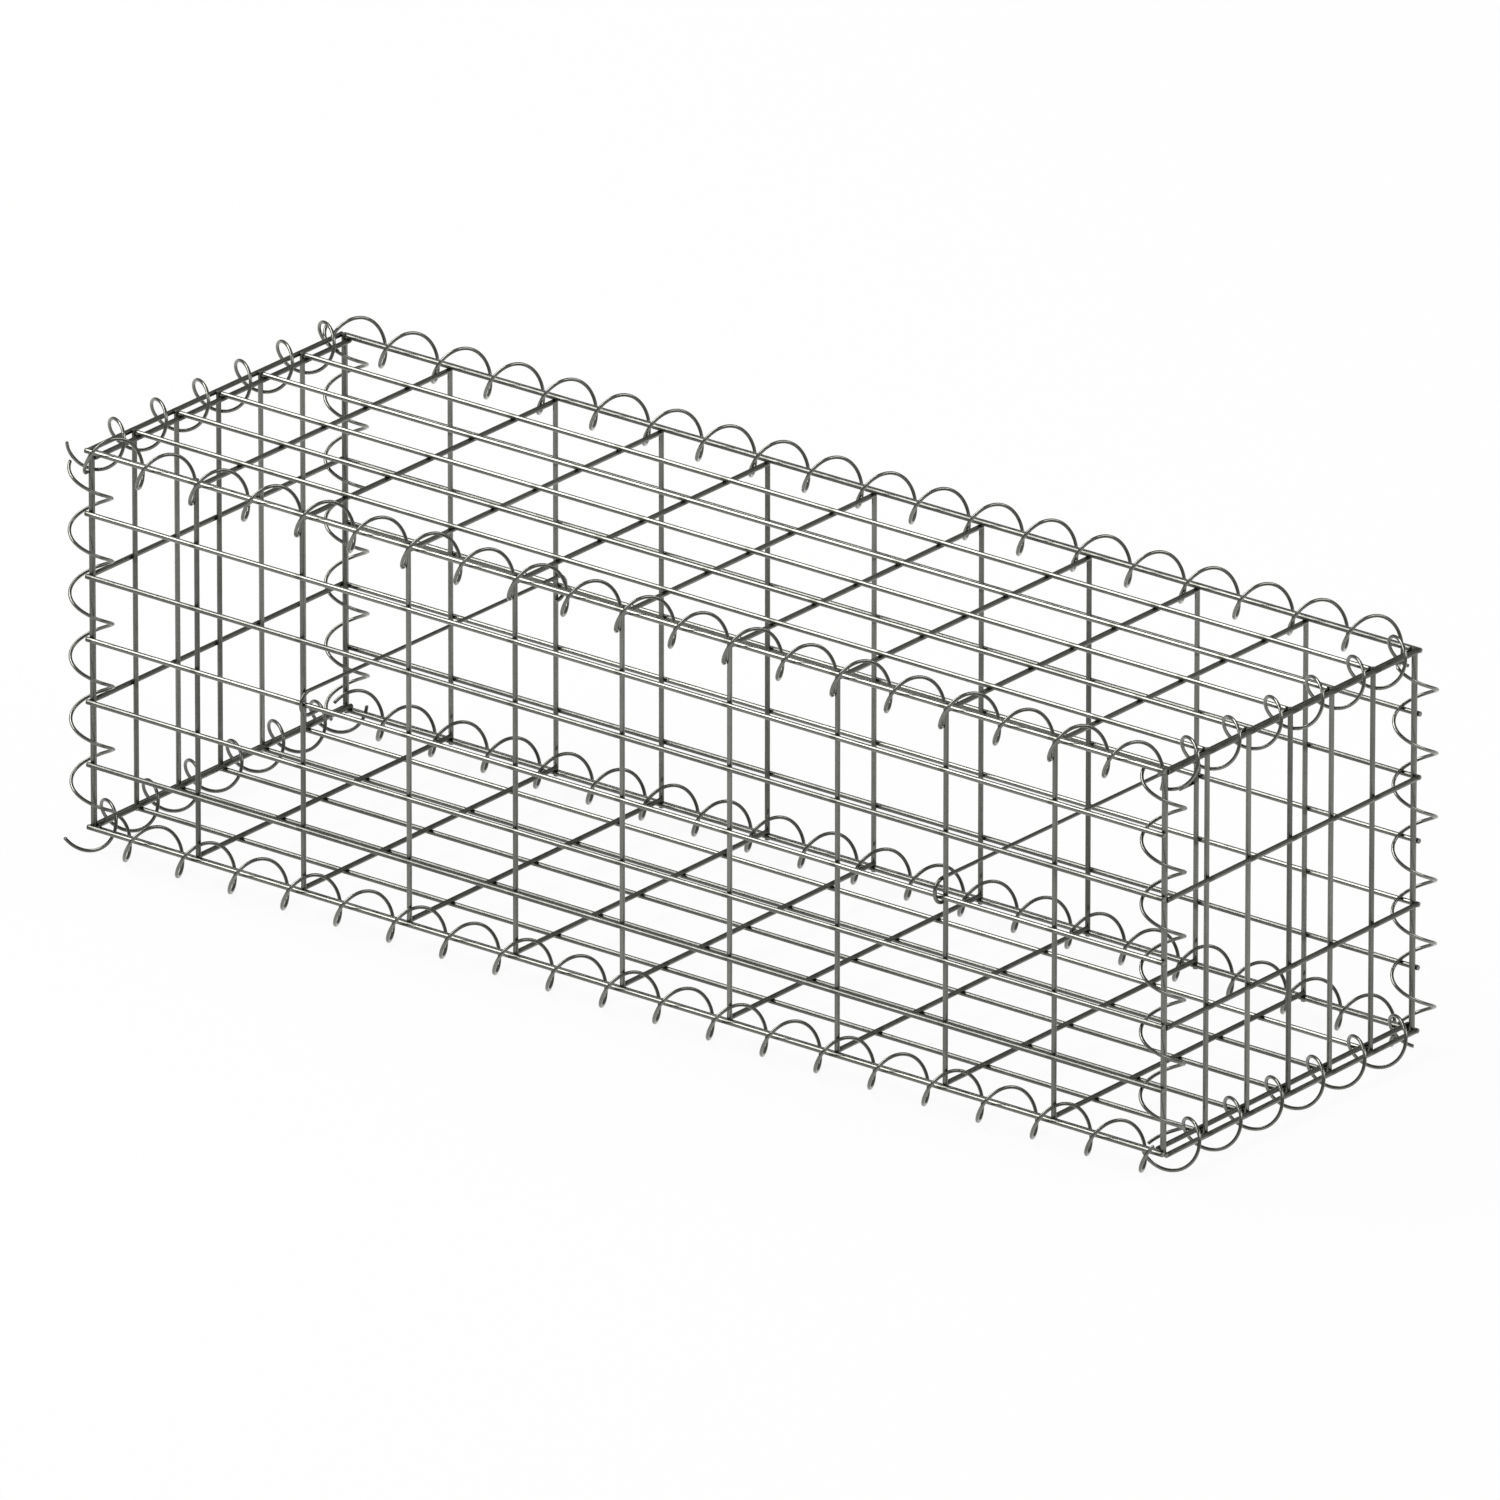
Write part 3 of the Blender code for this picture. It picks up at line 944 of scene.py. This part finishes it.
@dataclass
class GabionBasket:
    """The whole basket: six mesh panels, twelve binders and two spacers."""

    columns: int = 10
    rows: int = 6
    depth_cells: int = 6
    long_overhang: float = 0.003
    first_binder_seed: int = 40
    # Hot-dip galvanised mesh: bright zinc with dull patches, and dark at the heat of the welds
    mesh_zinc: ZincWireFinish = ZincWireFinish(
        "hot_dip_galvanised_mesh_wire",
        bright="#7E7E79",
        dull="#5F5F5B",
        scorched="#55554F",
        roughness_low=0.18,
        roughness_high=0.34,
    )
    # Hard spring wire, galvanised before it was coiled: the brightest and smoothest of the three
    binder_zinc: ZincWireFinish = ZincWireFinish(
        "galvanised_spring_wire",
        bright="#868681",
        dull="#60605C",
        scorched="#60605C",
        roughness_low=0.16,
        roughness_high=0.30,
    )
    # Soft tie wire, bent by hand: darker zinc with the broadest highlights
    spacer_zinc: ZincWireFinish = ZincWireFinish(
        "galvanised_tie_wire",
        bright="#747470",
        dull="#565652",
        scorched="#565652",
        roughness_low=0.22,
        roughness_high=0.38,
    )
    flash: WeldFlashFinish = WeldFlashFinish(
        "spot_weld_flash", light="#75756B", dark="#4C4C46", roughness=0.52
    )
    cut_face: CutFaceFinish = CutFaceFinish(
        "sheared_bare_steel", steel="#8E8E8B", scored="#6A6A68", roughness=0.34
    )

    def build(self) -> None:
        """Models and dresses every piece."""
        flash, cut_face = self.flash.material(), self.cut_face.material()
        mesh_materials = [self.mesh_zinc.material(), cut_face, flash]
        for panel in self.panels():
            panel.build(mesh_materials)
        binder_materials = [self.binder_zinc.material(), cut_face]
        for binder in self.binders():
            binder.build(binder_materials)
        spacer_materials = [self.spacer_zinc.material(), cut_face]
        for spacer in self.spacers():
            spacer.build(spacer_materials)

    def panels(self) -> list[MeshPanel]:
        """Lays out the six panels about the basket's own origin.

        Returns:
            Front, back, both ends, base and lid.
        """
        half_length, half_width = LENGTH / 2, WIDTH / 2
        bottom, top = EDGE_LIFT, EDGE_LIFT + HEIGHT
        column_step, row_step = LENGTH / self.columns, HEIGHT / self.rows
        depth_reach = half_width - HALF_SEAM
        depth_step = 2 * depth_reach / self.depth_cells
        columns = [-half_length + column_step * step for step in range(self.columns + 1)]
        fine_rows = [bottom + row_step * step for step in range(self.rows + 1)]
        coarse_rows = fine_rows[::2]
        depths = [-depth_reach + depth_step * step for step in range(self.depth_cells + 1)]
        lid_inset = MESH_RADIUS + CLEARANCE
        lid_reach = half_length - lid_inset - MESH_RADIUS
        lid_columns = [-lid_reach, *columns[1:-1], lid_reach]
        upright_span = (bottom - MESH_RADIUS, top + MESH_RADIUS)
        long_span = (-half_length - self.long_overhang, half_length + self.long_overhang)
        inset_span = (-half_length + lid_inset, half_length - lid_inset)
        depth_span = (-depth_reach - MESH_RADIUS, depth_reach + MESH_RADIUS)

        def side(node: str, outward: int, seed: int) -> MeshPanel:
            """A long side, with its long wires outside and off its place by the slip and lift."""
            slip, lift = -outward * SIDE_SLIP, -outward * SIDE_LIFT
            level = outward * (half_width + HALF_SEAM)
            outer_level = level + outward * LAYER_STEP
            longs = WireRow(
                Axis.X, long_span, Axis.Z, fine_rows, outer_level, -half_length, column_step
            )
            uprights = WireRow(Axis.Z, upright_span, Axis.X, columns, level, bottom, row_step)
            return MeshPanel(
                node, Axis.Y, longs.moved(slip, lift), uprights.moved(lift, slip), seed
            )

        def end(node: str, outward: int, seed: int) -> MeshPanel:
            """An end, with its level wires outside."""
            level = outward * half_length
            outer_level = level + outward * LAYER_STEP
            return MeshPanel(
                node,
                Axis.X,
                WireRow(
                    Axis.Y, depth_span, Axis.Z, coarse_rows, outer_level, -depth_reach, depth_step
                ),
                WireRow(Axis.Z, upright_span, Axis.Y, depths, level, bottom, 2 * row_step),
                seed,
            )

        def flat(node: str, level: float, outward: int, seed: int) -> MeshPanel:
            """The base or the lid, with its long wires outside."""
            inner_level = level - outward * LAYER_STEP
            return MeshPanel(
                node,
                Axis.Z,
                WireRow(Axis.X, inset_span, Axis.Y, depths, level, -half_length, column_step),
                WireRow(
                    Axis.Y, depth_span, Axis.X, lid_columns, inner_level, -depth_reach, depth_step
                ),
                seed,
            )

        return [
            side("front_panel", outward=-1, seed=11),
            side("back_panel", outward=1, seed=12),
            end("left_end_panel", outward=-1, seed=13),
            end("right_end_panel", outward=1, seed=14),
            flat("base_panel", bottom, outward=-1, seed=15),
            flat("lid_panel", top, outward=1, seed=16),
        ]

    def binders(self) -> list[SpiralBinder]:
        """Lays out the twelve binders along the edges of the nominal box.

        Returns:
            Long ones, uprights and short ones.
        """
        half_length, half_width = LENGTH / 2, WIDTH / 2
        bottom, top = EDGE_LIFT, EDGE_LIFT + HEIGHT
        long_pitch = LENGTH / self.columns / 2
        upright_pitch = HEIGHT / self.rows
        short_pitch = (WIDTH - 2 * HALF_SEAM) / self.depth_cells
        levels = {"bottom": bottom, "top": top}
        faces = {"front": -half_width, "back": half_width}
        ends = {"left": -half_length, "right": half_length}
        laid = []
        for face, y in faces.items():
            for name, z in levels.items():
                laid.append((f"binder_{face}_{name}", Axis.X, Vector((0, y, z)), long_pitch))
        for end, x in ends.items():
            for face, y in faces.items():
                laid.append((f"binder_{end}_{face}", Axis.Z, Vector((x, y, 0)), upright_pitch))
            for name, z in levels.items():
                laid.append((f"binder_{end}_{name}", Axis.Y, Vector((x, 0, z)), short_pitch))
        return [
            SpiralBinder(*row, seed=self.first_binder_seed + index)
            for index, row in enumerate(laid)
        ]

    def spacers(self) -> list[HookedSpacer]:
        """Lays out the two spacers.

        Returns:
            The left and the right one.
        """
        return [
            HookedSpacer("spacer_left", front_tail=0.012, back_tail=0.003, seed=71),
            HookedSpacer("spacer_right", front_tail=0.005, back_tail=0.014, seed=72),
        ]


@dataclass(frozen=True)
class SoftLamp:
    """A rectangular soft lamp that faces the basket from a given direction."""

    name: str
    towards: tuple[float, float, float]
    long_side: tuple[float, float, float]
    distance: float
    length: float
    width: float
    radiance: float

    def build(self, target: Vector) -> None:
        """Hangs the lamp.

        Args:
            target: The point that it faces.
        """
        data = bpy.data.lights.new(self.name, "AREA")
        data.shape = "RECTANGLE"
        data.size, data.size_y = self.length, self.width
        data.energy = self.radiance * math.pi * self.length * self.width
        lamp = bpy.data.objects.new(self.name, data)
        back = Vector(self.towards).normalized()
        side = Vector(self.long_side)
        side = (side - back * side.dot(back)).normalized()
        lamp.rotation_mode = "QUATERNION"
        turn = Matrix((side, back.cross(side), back)).transposed()
        lamp.rotation_quaternion = turn.to_quaternion()
        lamp.location = target + back * self.distance
        lamp.visible_camera = False
        bpy.context.scene.collection.objects.link(lamp)


@dataclass
class Studio:
    """Plain pale floor and surroundings with soft lamps."""

    floor_size: float = 60.0
    floor_colour: str = "#EDEDEB"
    surround: str = "#959593"
    white_share: float = 0.93
    # The long wires mirror the first lamp to the photograph's view, and the second to the view from
    # behind
    lamps: tuple[SoftLamp, ...] = (
        SoftLamp(
            "key_softbox",
            towards=(-0.574, -0.280, 0.770),
            long_side=(0.0, -0.94, -0.34),
            distance=9.0,
            length=8.4,
            width=3.0,
            radiance=9.0,
        ),
        SoftLamp(
            "back_softbox",
            towards=(0.66, 0.28, 0.70),
            long_side=(0.0, 0.93, -0.37),
            distance=9.0,
            length=6.4,
            width=2.6,
            radiance=5.0,
        ),
    )

    def build(self) -> None:
        """Lays the floor, sets the surroundings and hangs the lamps."""
        self._floor()
        self._surroundings()
        for lamp in self.lamps:
            lamp.build(Vector((0, 0, EDGE_LIFT + HEIGHT / 2)))

    def _floor(self) -> None:
        """Lays a floor that reads as white, in the view and in the metal, and keeps the shadow."""
        mesh = bmesh.new()
        bmesh.ops.create_grid(mesh, x_segments=1, y_segments=1, size=self.floor_size / 2)
        data = bpy.data.meshes.new("studio_floor")
        mesh.to_mesh(data)
        mesh.free()
        floor = bpy.data.objects.new("studio_floor", data)
        bpy.context.scene.collection.objects.link(floor)
        material = bpy.data.materials.new("matt_white_studio_floor")
        material.use_nodes = True
        tree = material.node_tree
        tree.nodes.clear()
        paint = add_node(tree, "ShaderNodeBsdfDiffuse", {"Color": linear(self.floor_colour)})
        white = add_node(tree, "ShaderNodeEmission", {"Color": linear("#FFFFFF"), "Strength": 1.0})
        share = self._seen_share(tree, self.white_share)
        mixed = add_node(
            tree, "ShaderNodeMixShader", {0: share, 1: paint.outputs[0], 2: white.outputs[0]}
        )
        add_node(tree, "ShaderNodeOutputMaterial", {"Surface": mixed.outputs[0]})
        data.materials.append(material)

    def _surroundings(self) -> None:
        """Sets an even pale grey all round."""
        world = bpy.data.worlds.new("studio_surroundings")
        world.use_nodes = True
        world.node_tree.nodes["Background"].inputs["Color"].default_value = linear(self.surround)
        bpy.context.scene.world = world

    @staticmethod
    def _seen_share(tree: bpy.types.NodeTree, share: float) -> bpy.types.NodeSocket:
        """Gives the share of white that the camera, mirrors and glass see in the floor.

        Args:
            tree: The floor's node tree.
            share: The share of white.

        Returns:
            A socket that is the share for those rays and 0 for the rest.
        """
        path = add_node(tree, "ShaderNodeLightPath")
        seen: bpy.types.NodeSocket = path.outputs["Is Camera Ray"]
        for name in ("Is Glossy Ray", "Is Transmission Ray"):
            seen = add_node(
                tree, "ShaderNodeMath", {0: seen, 1: path.outputs[name]}, operation="MAXIMUM"
            ).outputs[0]
        shared = add_node(tree, "ShaderNodeMath", {0: seen, 1: share}, operation="MULTIPLY")
        return shared.outputs[0]


@dataclass(frozen=True)
class PhotoCamera:
    """The camera at the photograph's viewing angle, far off with a long lens."""

    place: tuple[float, float, float] = (15.4334, -19.5434, 10.3483)
    right: tuple[float, float, float] = (0.784692, 0.619885, 0.000506)
    forward: tuple[float, float, float] = (-0.573565, 0.726367, -0.378701)
    sensor: float = 36.0
    focal_pixels: float = 36669.0
    frame_pixels: float = 1500.0
    clip: tuple[float, float] = (1.0, 200.0)

    def build(self) -> None:
        """Sets up the camera and makes it the scene's own."""
        data = bpy.data.cameras.new("photo_camera")
        data.sensor_width = self.sensor
        data.lens = self.sensor * self.focal_pixels / self.frame_pixels
        data.clip_start, data.clip_end = self.clip
        camera = bpy.data.objects.new("photo_camera", data)
        right = Vector(self.right).normalized()
        back = -Vector(self.forward).normalized()
        up = back.cross(right)
        camera.rotation_mode = "QUATERNION"
        camera.rotation_quaternion = Matrix((right, up, back)).transposed().to_quaternion()
        camera.location = self.place
        bpy.context.scene.collection.objects.link(camera)
        bpy.context.scene.camera = camera


def corners(box: tuple[Vector, Vector]) -> list[list[float]]:
    """A box's two corners as plain lists."""
    return [[float(value) for value in corner] for corner in box]


def main() -> None:
    """Builds the basket's looks, then the studio and the camera."""
    logging.basicConfig(level=logging.INFO, format="%(name)s: %(message)s")
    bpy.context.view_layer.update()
    GabionBasket().build()
    Studio().build()
    PhotoCamera().build()
    bpy.context.scene.view_settings.view_transform = "Standard"


if __name__ == "__main__":
    main()
